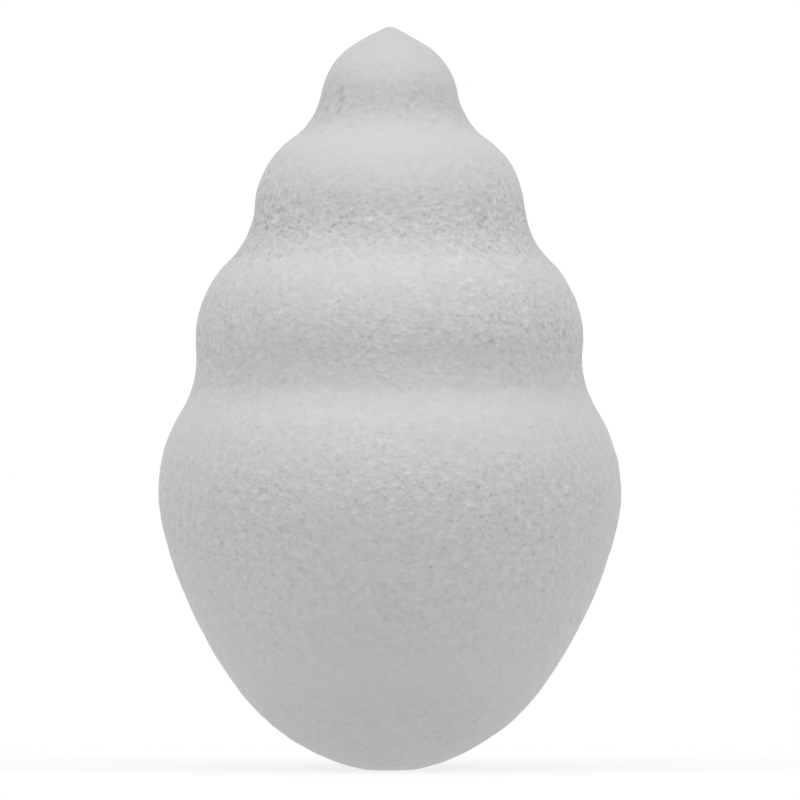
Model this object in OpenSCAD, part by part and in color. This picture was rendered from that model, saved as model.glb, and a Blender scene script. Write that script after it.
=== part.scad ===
// Makeup sponge: one block of soft foam, turned as stacked round tiers under a pointed nose.
// Millimetres, +Z up. The origin is the middle of the flat foot that the sponge stands on.

/* [Belly] */
// Diameter of the belly at its widest ring
belly_d = 40; // [37:0.5:44]
// Height of the belly's widest ring above the foot
belly_z = 24; // [22:0.1:29]
// Radius of the curve round the belly's widest ring
belly_rim_r = 13.3; // [9:0.1:15]
// Radius of the long swell from the belly down to the heel
flank_r = 40; // [34:1:60]

/* [Base] */
// Radius of the heel, the curve that turns the flank in under the sponge
heel_r = 18.4; // [16:0.1:19.5]
// Radius of the round base
base_r = 13; // [12:0.1:15]
// Diameter of the ring at which the round base meets the heel
base_d = 8; // [7:0.1:9.5]
// Diameter of the flat foot in the middle of the base
foot_d = 4; // [2:0.5:6]

/* [Lower tier] */
// Diameter of the lower tier at its widest ring
lower_d = 33.5; // [31:0.5:36]
// Height of the lower tier's widest ring above the belly's
lower_rise = 13.3; // [12:0.1:16]
// Radius of the curve round the lower tier's widest ring
lower_rim_r = 9.3; // [7:0.1:11]
// Radius of the waist between the lower tier and the belly
lower_waist_r = 8.45; // [6:0.05:12]

/* [Upper tier] */
// Diameter of the upper tier at its widest ring
upper_d = 23.3; // [21:0.1:26]
// Height of the upper tier's widest ring above the lower tier's
upper_rise = 11.1; // [10:0.1:14]
// Radius of the curve round the upper tier's widest ring
upper_rim_r = 7.55; // [6:0.05:9]
// Radius of the waist between the upper and the lower tier
upper_waist_r = 7.7; // [6:0.1:11]

/* [Crown] */
// Diameter of the ball-shaped crown
crown_d = 11.95; // [11:0.05:14]
// Height of the crown's middle above the upper tier's widest ring
crown_rise = 9.2; // [8.5:0.1:12]
// Radius of the waist between the crown and the upper tier
crown_waist_r = 6.2; // [4.5:0.1:9]

/* [Nose] */
// Height of the nose's point above the top of the crown's ball
nose_rise = 0.7; // [0.5:0.05:1.5]
// Radius of the nose's rounded point
nose_r = 1; // [0.8:0.1:2]
// Radius of the swell from the point down to the crown
nose_flank_r = 36; // [18:1:60]

/* [Hidden] */
$fn = 64;
// How far a slab of the profile runs on past the foam
overrun = 1;

// A stretch is one round part of the outline: the place of its circle, from the axis and above the
// foot, and its radius, which is negative where the circle hollows the foam.
function place(stretch) = [stretch[0], stretch[1]];
function radius(stretch) = stretch[2];

// The stretch round the widest ring of a tier with the diameter d
function rim(d, z, r) = [d / 2 - r, z, r];

// The stretch of radius r that runs smoothly into two others, where a is the higher one. Its circle
// touches both of theirs, so each pair of places is the difference of the two radii apart.
function blend(a, b, r) =
    let (
        to_a = abs(r - radius(a)),
        to_b = abs(r - radius(b)),
        gap = norm(place(b) - place(a)),
        down = (place(b) - place(a)) / gap,
        outward = [-down[1], down[0]],
        along = (gap * gap + to_a * to_a - to_b * to_b) / (2 * gap),
        across = sqrt(to_a * to_a - along * along),
        spot = place(a) + along * down - sign(r) * across * outward
    )
    [spot[0], spot[1], r];

// The stretch of radius r that takes over smoothly from another one at a ring of its circle. Its
// place is on the line from the ring through the other's place.
function carry_on(other, ring, r) =
    let (spot = ring + r / radius(other) * (place(other) - ring))
    [spot[0], spot[1], r];

// The height at which two touching stretches meet, on the line through both places
function meeting_z(a, b) = (radius(a) * b[1] - radius(b) * a[1]) / (radius(a) - radius(b));

lower_z = belly_z + lower_rise;
upper_z = lower_z + upper_rise;
crown_z = upper_z + crown_rise;
body_h = crown_z + crown_d / 2 + nose_rise;
// The round base is a ball whose lowest part is cut off level by the foot
base_z = sqrt(base_r * base_r - foot_d * foot_d / 4);
heel_ring = [base_d / 2, base_z - sqrt(base_r * base_r - base_d * base_d / 4)];

nose = [0, body_h - nose_r, nose_r];
crown = rim(crown_d, crown_z, crown_d / 2);
upper = rim(upper_d, upper_z, upper_rim_r);
lower = rim(lower_d, lower_z, lower_rim_r);
belly = rim(belly_d, belly_z, belly_rim_r);
base = [0, base_z, base_r];
heel = carry_on(base, heel_ring, heel_r);

// The whole outline, from the point of the nose down to the foot
outline = [
    nose,
    blend(nose, crown, nose_flank_r),
    crown,
    blend(crown, upper, -crown_waist_r),
    upper,
    blend(upper, lower, -upper_waist_r),
    lower,
    blend(lower, belly, -lower_waist_r),
    belly,
    blend(belly, heel, flank_r),
    heel,
    base
];
last = len(outline) - 1;

function bottom_z(i) = i == last ? 0 : meeting_z(outline[i], outline[i + 1]);
function top_z(i) = i == 0 ? body_h + overrun : bottom_z(i - 1);

// A slab of the profile from the axis out to a width
module slab(i, width) {
    polygon([[0, bottom_z(i)], [width, bottom_z(i)], [width, top_z(i)], [0, top_z(i)]]);
}

// The foam inside a stretch that swells outwards
module swelling(i) {
    intersection() {
        slab(i, belly_d);
        union() {
            translate(place(outline[i])) circle(radius(outline[i]));
            if (outline[i][0] > 0) slab(i, outline[i][0]);
        }
    }
}

// The foam beside a stretch that hollows it
module hollow(i) {
    difference() {
        slab(i, outline[i][0]);
        translate(place(outline[i])) circle(-radius(outline[i]));
    }
}

module profile() {
    for (i = [0 : last]) {
        if (radius(outline[i]) > 0) swelling(i);
        else hollow(i);
    }
}

module foam_body() {
    color("gainsboro") rotate_extrude() profile();
}

foam_body();
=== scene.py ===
"""A makeup sponge of soft grey foam, standing on a white table under soft studio light."""
import math

import bpy
import numpy as np
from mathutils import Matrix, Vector, noise


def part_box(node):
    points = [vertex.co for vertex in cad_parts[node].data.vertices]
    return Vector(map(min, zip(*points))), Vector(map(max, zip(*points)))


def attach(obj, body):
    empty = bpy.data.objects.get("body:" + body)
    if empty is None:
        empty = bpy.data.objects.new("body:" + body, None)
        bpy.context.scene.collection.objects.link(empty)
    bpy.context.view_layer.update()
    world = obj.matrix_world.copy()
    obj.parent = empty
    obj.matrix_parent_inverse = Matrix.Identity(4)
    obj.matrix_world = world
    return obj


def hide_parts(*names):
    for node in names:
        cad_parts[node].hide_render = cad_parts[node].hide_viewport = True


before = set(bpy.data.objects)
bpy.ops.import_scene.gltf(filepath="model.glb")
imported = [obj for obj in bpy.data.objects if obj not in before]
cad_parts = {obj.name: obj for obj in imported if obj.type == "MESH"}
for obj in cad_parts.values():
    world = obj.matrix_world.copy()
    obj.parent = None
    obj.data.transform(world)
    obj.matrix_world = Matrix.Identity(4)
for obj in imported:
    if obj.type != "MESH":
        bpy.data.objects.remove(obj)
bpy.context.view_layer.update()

MM = 0.001
WELD_STEP = 1e-5 * MM  # points closer than this are one point
LEVEL_DIGITS = 6  # heights in metres that agree to this many digits are one level
TINY = 1e-9  # keeps a division away from zero

# The photograph, in its own pixels
PHOTO_PX = 800
AXIS_PX = 389.6  # the sponge's axis, from the left edge
FOOT_PX = 769.8  # the middle of the foot, from the top edge
BELLY_PX = 462.3  # the belly's width

LOWEST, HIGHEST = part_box("foam_body")
PIXEL = (HIGHEST.x - LOWEST.x) / BELLY_PX  # what one pixel of the photograph spans on the sponge

CAMERA_DISTANCE = 1.0
SENSOR_MM = 36.0

# Light, as shares of the level at which a colour renders as it is written
SKY = 0.40
TABLE = 0.84
# Pairs of soft lamps, one to each side: height and angle aside, spread, and strength of each lamp
LAMPS = [
    (65, 40, 70, 0.24),
    (45, 60, 30, 0.18),
]
SHADED_SHARE = 0.22  # the part of the table's white that darkens in a shadow
TABLE_REACH = 40.0  # from the table's middle to each edge

# The skin's mesh: six square patches of this many quads a side, laid out in rows for the bake
PATCH_STEPS = 128
ATLAS_SHAPE = (3, 2)  # patches across and up
ATLAS_MARGIN = 0.004  # left clear round each patch, as a share of the atlas

# How uneven the foam is: the size and the depth of each kind of lump, in mm
LUMPS = [
    (11.0, 0.035),
    (3.2, 0.035),
    (1.5, 0.045),
    (0.8, 0.020),
]
# Each kind of lump is read from another place in the noise
NOISE_STEP = 7.3
NOISE_PLACE = (3.1, 5.7)
FLAT_EDGE = 0.6 * MM  # the lumps fade away over this height above the foot

# The relief of the skin: how many lumps go to a millimetre, and their depth in mm
RELIEF = [
    (0.5, 0.003),
    (1.0, 0.006),
    (2.0, 0.020),
    (4.0, 0.010),
]
# Sparse flecks that stand out of the relief, in the same units
FLECKS = [
    (1.7, 0.080),
    (3.2, 0.065),
]
# The foam's cells: some end in a small pit and some in a small nub
CELLS_PER_MM = 1.5
CELL_REACH = 0.40  # how far a pit or a nub reaches, in cells
PIT_SHARE = 0.4
PIT_DEPTH = 0.022  # in mm
NUB_SHARE = 0.4
NUB_HEIGHT = 0.022  # in mm
# Relief, flecks and cells lie a little flat: how wide and how tall they are, against their sizes above
LYING_WIDTH = 1.08
LYING_HEIGHT = 0.96

# The skin from the foot up: a height in mm, how strong its relief is there, and how pale it is painted:
# darker bands are painted shade, in the waists and at the foot, and paler bands are painted light, on the
# tops of the belly and tiers
SKIN = [
    (0.0, 0.50, 0.88),  # foot
    (4.0, 0.45, 0.98),
    (8.0, 0.30, 1.03),  # base
    (18.0, 0.90, 1.01),  # flank
    (24.0, 1.05, 1.00),  # belly
    (31.0, 0.45, 1.03),  # belly's top
    (32.6, 0.40, 1.03),
    (33.1, 0.60, 0.96),  # lower waist
    (38.5, 1.00, 0.99),  # lower tier
    (43.0, 0.45, 1.03),  # lower tier's top
    (47.0, 1.30, 0.96),  # upper waist
    (50.5, 0.65, 1.03),  # upper tier
    (54.0, 0.15, 1.01),  # upper tier's top
    (56.0, 0.40, 0.99),
    (57.2, 0.70, 0.93),  # highest waist
    (60.5, 0.30, 1.01),  # crown
    (63.0, 0.30, 0.96),  # nose
]
WAVES_PER_MM = 0.3
WAVINESS = 0.5  # how far the bands of the skin stray from their heights, in mm
# The relief's strength varies in patches, by a noise that mostly keeps inside a spread
PATCHES_PER_MM = 0.12
PATCH_SPREAD = (0.35, 0.65)
PATCH_RANGE = (0.8, 1.2)
# Above the belly the relief is stronger at the sponge's left and right than at its front and back
ROUGHER_SIDES = 0.8  # by this share at the very sides
SIDES_FROM = (31.0, 35.0)  # rising from nothing to its full share between these heights, in mm

# The foam's finish
FOAM_GREY = 0.56
MOTTLE_SHARE = 0.02
MOTTLES_PER_MM = 0.35
HOLLOW_SHADE = 3.0  # painted shade and light in the relief: the share by which a hollow darkens, and a ridge pales, for each mm
DEEPEST = 0.05  # a hollow this deep in mm is roughest, and a ridge this high is smoothest
HOLLOW_ROUGHNESS = 1.0
RIDGE_ROUGHNESS = 0.86
SPECULAR_LEVEL = 0.25
SHEEN = 0.30
SHEEN_ROUGHNESS = 0.5


def outline_of(name):
    """The node's outline from the foot up: a height and a radius for each ring of its vertices."""
    points = np.array([v.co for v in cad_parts[name].data.vertices])
    heights = np.round(points[:, 2], LEVEL_DIGITS)
    radii = np.hypot(points[:, 0], points[:, 1])
    levels = np.unique(heights)
    return levels, np.array([radii[heights == level].max() for level in levels])


def smooth_through(knots, values, at):
    """Values at the places at, on a smooth curve through the knots."""
    slopes = np.gradient(values, knots)
    i = np.clip(np.searchsorted(knots, at) - 1, 0, len(knots) - 2)
    span = knots[i + 1] - knots[i]
    t = (at - knots[i]) / span
    return (
        (2 * t**3 - 3 * t**2 + 1) * values[i]
        + (t**3 - 2 * t**2 + t) * span * slopes[i]
        + (3 * t**2 - 2 * t**3) * values[i + 1]
        + (t**3 - t**2) * span * slopes[i + 1]
    )


def cube_faces():
    """The six faces of a cube, each as its direction out, its direction right and its direction up."""
    faces = [
        (Vector((math.cos(a), math.sin(a), 0)), Vector((-math.sin(a), math.cos(a), 0)), Vector((0, 0, 1)))
        for a in (-math.pi / 2, 0, math.pi / 2, math.pi)
    ]
    faces.append((Vector((0, 0, 1)), Vector((1, 0, 0)), Vector((0, 1, 0))))
    faces.append((Vector((0, 0, -1)), Vector((1, 0, 0)), Vector((0, -1, 0))))
    return faces


def patches():
    """Six square patches that cover a sphere evenly: directions, quads, and a place in the bake's atlas."""
    steps = np.linspace(-1, 1, PATCH_STEPS + 1)
    bent = np.tan(steps * math.pi / 4)
    across, up = np.meshgrid(bent, bent)
    share = (steps + 1) / 2
    in_patch = np.stack(np.meshgrid(share, share), axis=2).reshape(-1, 2)

    row = PATCH_STEPS + 1
    corner = (np.arange(PATCH_STEPS)[:, None] * row + np.arange(PATCH_STEPS)).ravel()
    quad = np.stack([corner, corner + 1, corner + row + 1, corner + row], axis=1)
    margin = ATLAS_MARGIN * np.array(ATLAS_SHAPE)
    directions, quads, atlas = [], [], []
    for k, (out, right, top) in enumerate(cube_faces()):
        spread = np.array(out) + across[..., None] * np.array(right) + up[..., None] * np.array(top)
        directions.append(spread.reshape(-1, 3))
        quads.append(quad + k * row * row)
        tile = np.array([k % ATLAS_SHAPE[0], k // ATLAS_SHAPE[0]])
        atlas.append((tile + margin + in_patch * (1 - 2 * margin)) / np.array(ATLAS_SHAPE))
    directions = np.vstack(directions)
    directions /= np.linalg.norm(directions, axis=1, keepdims=True)
    return directions, np.vstack(quads), np.vstack(atlas)


def skin_mesh(name):
    """The sponge's skin, even quads over the node's own outline."""
    heights, radii = outline_of("foam_body")
    walked = np.concatenate([[0], np.cumsum(np.hypot(np.diff(heights), np.diff(radii)))])
    foot_radius = radii[0]
    directions, quads, atlas = patches()

    # From the middle of the foot, a direction's angle is a way along the outline
    share = np.arccos(np.clip(-directions[:, 2], -1, 1)) / math.pi
    way = share * (foot_radius + walked[-1])
    along = np.clip(way - foot_radius, 0, None)
    z = np.where(way < foot_radius, 0.0, smooth_through(walked, heights, along))
    r = np.where(way < foot_radius, way, smooth_through(walked, radii, along))
    flat = np.hypot(directions[:, 0], directions[:, 1])
    turned = directions[:, :2] / np.maximum(flat, TINY)[:, None]
    points = np.column_stack([turned * np.maximum(r, 0)[:, None], z])

    # Patches share the points along their edges
    keys = np.round(points / WELD_STEP).astype(np.int64)
    _, first, welded = np.unique(keys, axis=0, return_index=True, return_inverse=True)
    welded = welded.ravel()
    mesh = bpy.data.meshes.new(name)
    mesh.from_pydata(points[first].tolist(), [], welded[quads].tolist())
    uv = mesh.uv_layers.new(name="OFBake")
    uv.data.foreach_set("uv", atlas[quads.ravel()].astype(np.float32).ravel())
    mesh.update()
    return mesh


def uneven(mesh):
    """Moves the skin in and out a little, as ground foam is uneven, and leaves the foot flat."""
    spots = [Vector(v.co) for v in mesh.vertices]
    normals = [Vector(v.normal) for v in mesh.vertices]
    for v, spot, normal in zip(mesh.vertices, spots, normals):
        lift = 0.0
        for k, (size, depth) in enumerate(LUMPS):
            lift += depth * noise.noise(spot / (size * MM) + Vector((NOISE_STEP * k, *NOISE_PLACE)))
        v.co = spot + normal * lift * MM * min(1.0, spot.z / FLAT_EDGE)
    mesh.update()


def node(tree, kind, **settings):
    """A new shader node, with its inputs and options set by name."""
    made = tree.nodes.new(kind)
    for key, value in settings.items():
        if key in made.inputs:
            made.inputs[key].default_value = value
        else:
            setattr(made, key, value)
    return made


def grey(level):
    """A grey as a shader's colour."""
    return (level, level, level, 1)


def maths(tree, operation, *values):
    """The result of a maths node, where each value is a number or another node's output."""
    made = node(tree, "ShaderNodeMath", operation=operation)
    for socket, value in zip(made.inputs, values):
        if isinstance(value, (int, float)):
            socket.default_value = value
        else:
            tree.links.new(value, socket)
    return made.outputs[0]


def rescaled(tree, value, old, new, **settings):
    """The value, taken from the range old to the range new and held inside it."""
    made = node(tree, "ShaderNodeMapRange", **settings)
    for key, limit in zip(("From Min", "From Max", "To Min", "To Max"), (*old, *new)):
        made.inputs[key].default_value = limit
    tree.links.new(value, made.inputs["Value"])
    return made.outputs["Result"]


def texture(tree, kind, place, **settings):
    """A texture node that is read at the place."""
    made = node(tree, kind, **settings)
    tree.links.new(place, made.inputs["Vector"])
    return made


def soft_lumps(tree, place, per_mm):
    """Soft lumps, between -1 and 1."""
    made = texture(tree, "ShaderNodeTexNoise", place, Scale=per_mm, Detail=0.0)
    return maths(tree, "MULTIPLY_ADD", made.outputs["Fac"], 2.0, -1.0)


def cell_ends(tree, place):
    """The pits and nubs at the ends of the foam's cells, as a height in mm."""
    cells = texture(tree, "ShaderNodeTexVoronoi", place, Scale=CELLS_PER_MM)
    chance = node(tree, "ShaderNodeSeparateColor")
    tree.links.new(cells.outputs["Color"], chance.inputs[0])
    is_pit = maths(tree, "LESS_THAN", chance.outputs[0], PIT_SHARE)
    is_nub = maths(tree, "GREATER_THAN", chance.outputs[0], 1 - NUB_SHARE)
    tip = maths(tree, "MULTIPLY_ADD", is_nub, NUB_HEIGHT, maths(tree, "MULTIPLY", is_pit, -PIT_DEPTH))
    dot = rescaled(tree, cells.outputs["Distance"], (0, CELL_REACH), (1, 0), interpolation_type="SMOOTHSTEP")
    return maths(tree, "MULTIPLY", dot, tip)


def foam_relief(tree, place):
    """The skin's relief at full strength, as a height in mm."""
    lying = node(tree, "ShaderNodeMapping", Scale=(1 / LYING_WIDTH, 1 / LYING_WIDTH, 1 / LYING_HEIGHT))
    tree.links.new(place, lying.inputs["Vector"])
    place = lying.outputs["Vector"]
    height = cell_ends(tree, place)
    for per_mm, depth in RELIEF:
        height = maths(tree, "MULTIPLY_ADD", soft_lumps(tree, place, per_mm), depth, height)
    # Times their own size, lumps keep little but their highest and deepest parts
    for per_mm, depth in FLECKS:
        lumps = soft_lumps(tree, place, per_mm)
        sparse = maths(tree, "MULTIPLY", lumps, maths(tree, "ABSOLUTE", lumps))
        height = maths(tree, "MULTIPLY_ADD", sparse, depth, height)
    return height


def by_patch_and_side(tree, place, x, y, z):
    """How the relief's strength varies round the sponge, in patches and towards its sides."""
    noise_here = texture(tree, "ShaderNodeTexNoise", place, Scale=PATCHES_PER_MM, Detail=1.0)
    by_patch = rescaled(tree, noise_here.outputs["Fac"], PATCH_SPREAD, PATCH_RANGE)
    # From 0 at the sponge's front and back to 1 at its left and right
    x_squared = maths(tree, "MULTIPLY", x, x)
    sideways = maths(tree, "DIVIDE", x_squared, maths(tree, "MULTIPLY_ADD", y, y, x_squared))
    rougher = rescaled(tree, z, SIDES_FROM, (0, ROUGHER_SIDES))
    by_side = maths(tree, "MULTIPLY_ADD", sideways, rougher, 1.0)
    return maths(tree, "MULTIPLY", by_patch, by_side)


def skin_at(tree, place):
    """The strength of the skin's relief and its painted light and shade, as a paleness, both by height, in
    wavy bands.
    """
    spot = node(tree, "ShaderNodeSeparateXYZ")
    tree.links.new(place, spot.inputs[0])
    x, y, z = spot.outputs
    band = maths(tree, "MULTIPLY_ADD", soft_lumps(tree, place, WAVES_PER_MM), WAVINESS, z)
    highest = SKIN[-1][0]
    ramp = node(tree, "ShaderNodeValToRGB")
    # A new ramp has a stop at each end, and the one at 0 becomes the foot's
    stops = ramp.color_ramp.elements
    stops.remove(stops[1])
    for height, relief, painted_light_and_shade in SKIN:
        stop = stops.new(height / highest) if height > 0 else stops[0]
        stop.color = (relief, painted_light_and_shade, 0, 1)
    tree.links.new(maths(tree, "DIVIDE", band, highest), ramp.inputs["Fac"])
    both = node(tree, "ShaderNodeSeparateColor")
    tree.links.new(ramp.outputs["Color"], both.inputs[0])
    strength = maths(tree, "MULTIPLY", both.outputs[0], by_patch_and_side(tree, place, x, y, z))
    return strength, both.outputs[1]


def foam_material():
    """Soft grey foam, whose relief, painted shade and roughness follow one height."""
    material = bpy.data.materials.new("soft_foam")
    material.use_nodes = True
    tree = material.node_tree
    link = tree.links.new
    shader = tree.nodes["Principled BSDF"]
    shader.inputs["Specular IOR Level"].default_value = SPECULAR_LEVEL
    shader.inputs["Sheen Weight"].default_value = SHEEN
    shader.inputs["Sheen Roughness"].default_value = SHEEN_ROUGHNESS

    spots = node(tree, "ShaderNodeTexCoord")
    in_mm = node(tree, "ShaderNodeMapping", Scale=(1 / MM,) * 3)
    link(spots.outputs["Object"], in_mm.inputs["Vector"])
    place = in_mm.outputs["Vector"]

    # The relief's strength, and the painted light and shade by height
    strength, painted_light_and_shade = skin_at(tree, place)
    height = maths(tree, "MULTIPLY", foam_relief(tree, place), strength)
    bump = node(tree, "ShaderNodeBump", Strength=1.0, Distance=MM)
    link(height, bump.inputs["Height"])
    link(bump.outputs["Normal"], shader.inputs["Normal"])

    # A slow mottle, with painted shade that makes hollows and pits a little darker than ridges, and painted
    # light and shade by height
    mottle = texture(tree, "ShaderNodeTexNoise", place, Scale=MOTTLES_PER_MM, Detail=2.0)
    mottled = node(tree, "ShaderNodeMix", data_type="RGBA")
    mottled.inputs["A"].default_value = grey(FOAM_GREY * (1 - MOTTLE_SHARE))
    mottled.inputs["B"].default_value = grey(FOAM_GREY * (1 + MOTTLE_SHARE))
    link(mottle.outputs["Fac"], mottled.inputs["Factor"])
    shade = maths(tree, "MULTIPLY", maths(tree, "MULTIPLY_ADD", height, HOLLOW_SHADE, 1.0), painted_light_and_shade)
    tone = node(tree, "ShaderNodeVectorMath", operation="SCALE")
    link(mottled.outputs["Result"], tone.inputs[0])
    link(shade, tone.inputs["Scale"])
    link(tone.outputs[0], shader.inputs["Base Color"])

    roughness = rescaled(tree, height, (-DEEPEST, DEEPEST), (HOLLOW_ROUGHNESS, RIDGE_ROUGHNESS))
    link(roughness, shader.inputs["Roughness"])
    return material


def make_foam():
    """The sponge's skin, in place of the plain solid."""
    mesh = skin_mesh("foam_skin")
    uneven(mesh)
    mesh.shade_smooth()
    mesh.materials.append(foam_material())
    piece = bpy.data.objects.new("foam_skin", mesh)
    bpy.context.scene.collection.objects.link(piece)
    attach(piece, "root")
    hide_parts("foam_body")


def seen_or_mirrored(tree):
    """1 for rays from the camera, off gloss or through glass, and 0 for rays that carry light."""
    path = tree.nodes.new("ShaderNodeLightPath")
    total = path.outputs["Is Camera Ray"]
    for kind in ("Is Glossy Ray", "Is Transmission Ray"):
        total = maths(tree, "MAXIMUM", total, path.outputs[kind])
    return total


def make_world():
    """Even light from all round, with white where the world itself is seen."""
    world = bpy.data.worlds.new("studio")
    bpy.context.scene.world = world
    world.use_nodes = True
    tree = world.node_tree
    tree.nodes.clear()
    out = tree.nodes.new("ShaderNodeOutputWorld")
    mix = tree.nodes.new("ShaderNodeMixShader")
    ambient = node(tree, "ShaderNodeBackground", Color=grey(1), Strength=SKY)
    white = node(tree, "ShaderNodeBackground", Color=grey(1), Strength=1.0)
    tree.links.new(seen_or_mirrored(tree), mix.inputs["Fac"])
    tree.links.new(ambient.outputs[0], mix.inputs[1])
    tree.links.new(white.outputs[0], mix.inputs[2])
    tree.links.new(mix.outputs[0], out.inputs["Surface"])


def table_material():
    """White from above, with a faint shadow of the sponge."""
    material = bpy.data.materials.new("white_table")
    material.use_nodes = True
    material.cycles.emission_sampling = "NONE"
    tree = material.node_tree
    tree.nodes.clear()
    link = tree.links.new
    out = tree.nodes.new("ShaderNodeOutputMaterial")
    # What the table throws back at the sponge
    bounce = node(tree, "ShaderNodeEmission", Color=grey(1), Strength=TABLE)
    # What the camera sees is white, and a share of it darkens in the sponge's shadow
    lamp_light = sum(2 * strength * math.sin(math.radians(height)) for height, _, _, strength in LAMPS)
    shaded = node(tree, "ShaderNodeBsdfDiffuse", Color=grey(SHADED_SHARE / (SKY + lamp_light)))
    glow = node(tree, "ShaderNodeEmission", Color=grey(1), Strength=1 - SHADED_SHARE)
    seen = tree.nodes.new("ShaderNodeAddShader")
    link(shaded.outputs[0], seen.inputs[0])
    link(glow.outputs[0], seen.inputs[1])
    top = tree.nodes.new("ShaderNodeMixShader")
    link(seen_or_mirrored(tree), top.inputs["Fac"])
    link(bounce.outputs[0], top.inputs[1])
    link(seen.outputs[0], top.inputs[2])
    # From below the table is clear, so that the underside shows
    side = tree.nodes.new("ShaderNodeNewGeometry")
    clear = tree.nodes.new("ShaderNodeBsdfTransparent")
    both = tree.nodes.new("ShaderNodeMixShader")
    link(side.outputs["Backfacing"], both.inputs["Fac"])
    link(top.outputs[0], both.inputs[1])
    link(clear.outputs[0], both.inputs[2])
    link(both.outputs[0], out.inputs["Surface"])
    return material


def make_table():
    """A flat square table at the height of the foot."""
    mesh = bpy.data.meshes.new("table")
    corners = [(x * TABLE_REACH, y * TABLE_REACH, 0) for x, y in ((-1, -1), (1, -1), (1, 1), (-1, 1))]
    mesh.from_pydata(corners, [], [(0, 1, 2, 3)])
    mesh.materials.append(table_material())
    table = bpy.data.objects.new("table", mesh)
    bpy.context.scene.collection.objects.link(table)


def make_lamps():
    """Large soft lights above and in front, the same on each side."""
    for height, aside, spread, strength in LAMPS:
        for side in (-1, 1):
            light = bpy.data.lights.new("lamp", "SUN")
            light.energy = strength * math.pi
            light.angle = math.radians(spread)
            lamp = bpy.data.objects.new("lamp", light)
            lamp.rotation_euler = (math.radians(90 - height), 0, math.radians(side * aside))
            bpy.context.scene.collection.objects.link(lamp)


def make_camera():
    """A level camera that frames the sponge as the photograph does."""
    data = bpy.data.cameras.new("camera")
    data.sensor_fit = "HORIZONTAL"
    data.sensor_width = SENSOR_MM
    data.lens = SENSOR_MM * CAMERA_DISTANCE / (PHOTO_PX * PIXEL)
    camera = bpy.data.objects.new("camera", data)
    across = (PHOTO_PX / 2 - AXIS_PX) * PIXEL
    up = (FOOT_PX - PHOTO_PX / 2) * PIXEL
    camera.location = (across, -CAMERA_DISTANCE, up)
    camera.rotation_euler = (math.pi / 2, 0, 0)
    bpy.context.scene.collection.objects.link(camera)
    bpy.context.scene.camera = camera


make_foam()
make_world()
make_table()
make_lamps()
make_camera()
bpy.context.scene.view_settings.view_transform = "Standard"
